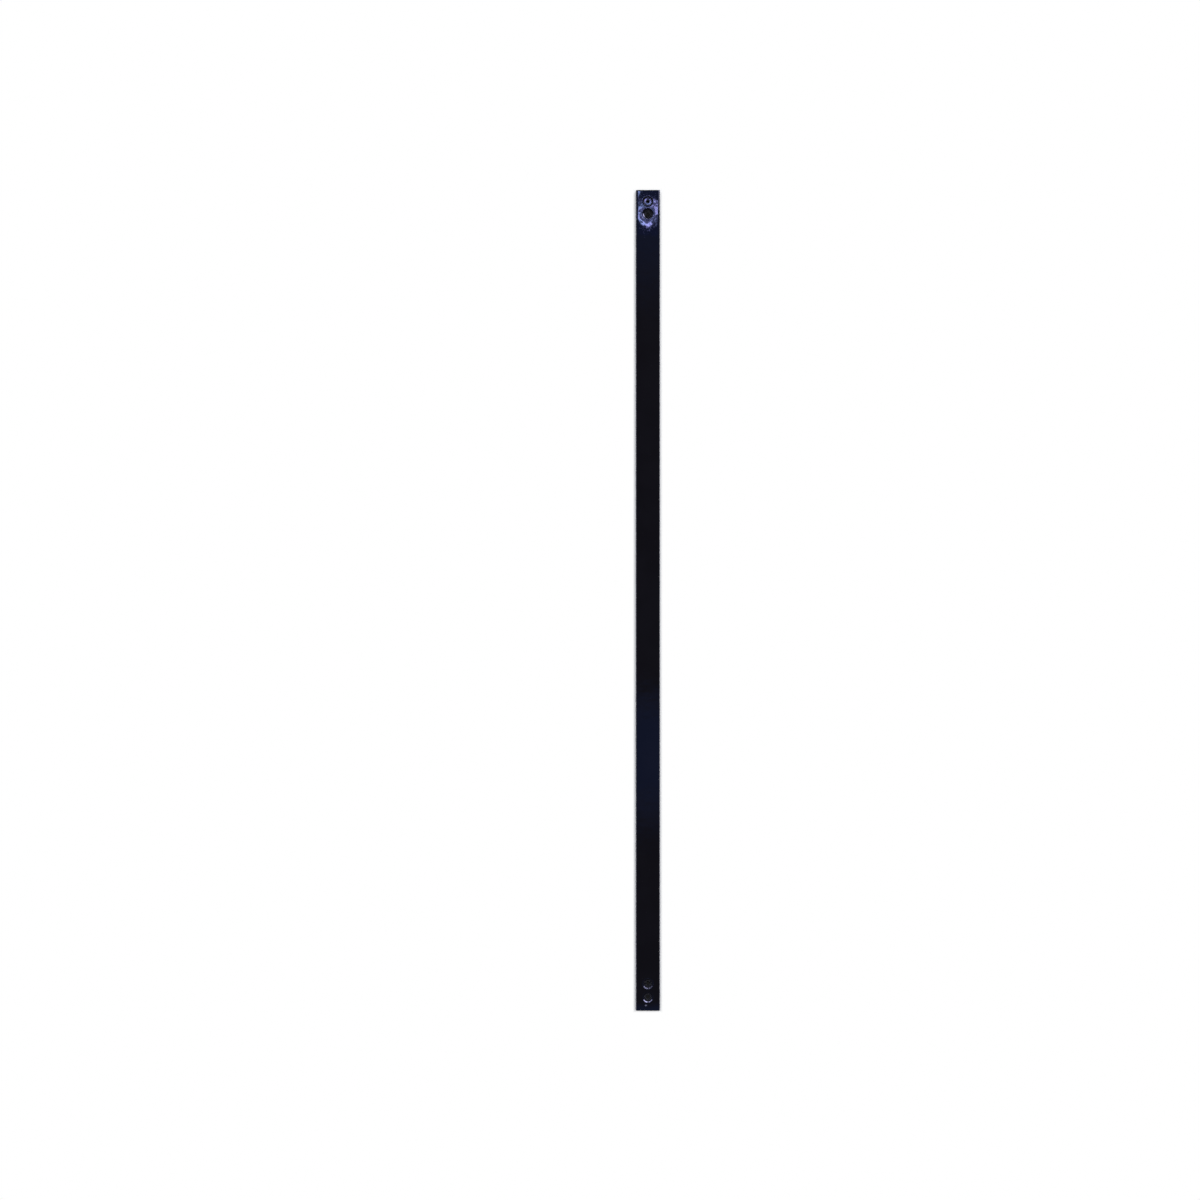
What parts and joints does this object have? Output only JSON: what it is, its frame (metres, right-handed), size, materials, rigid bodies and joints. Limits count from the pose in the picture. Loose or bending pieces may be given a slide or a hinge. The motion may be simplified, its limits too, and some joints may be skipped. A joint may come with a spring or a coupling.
{
  "type": "stair baluster",
  "caption": "Slim rectangular steel tube stair baluster, gloss black, with pressed screw access holes and a screw-head recess in its front face and screw holes in its flat back.",
  "frame": {"origin": "centre of the flat back face, midway between the two ends", "axes": "lying on its back as it comes to rest unfixed: +Y along the tube towards the upper end, +Z out of the front face with the access holes, X across the width"},
  "size_m": [0.0254, 0.8636, 0.0127],
  "materials": {
    "black_gloss_paint": "gloss"
  },
  "bodies": {
    "root": {"baluster_tube": "black_gloss_paint"}
  },
  "joints": []
}
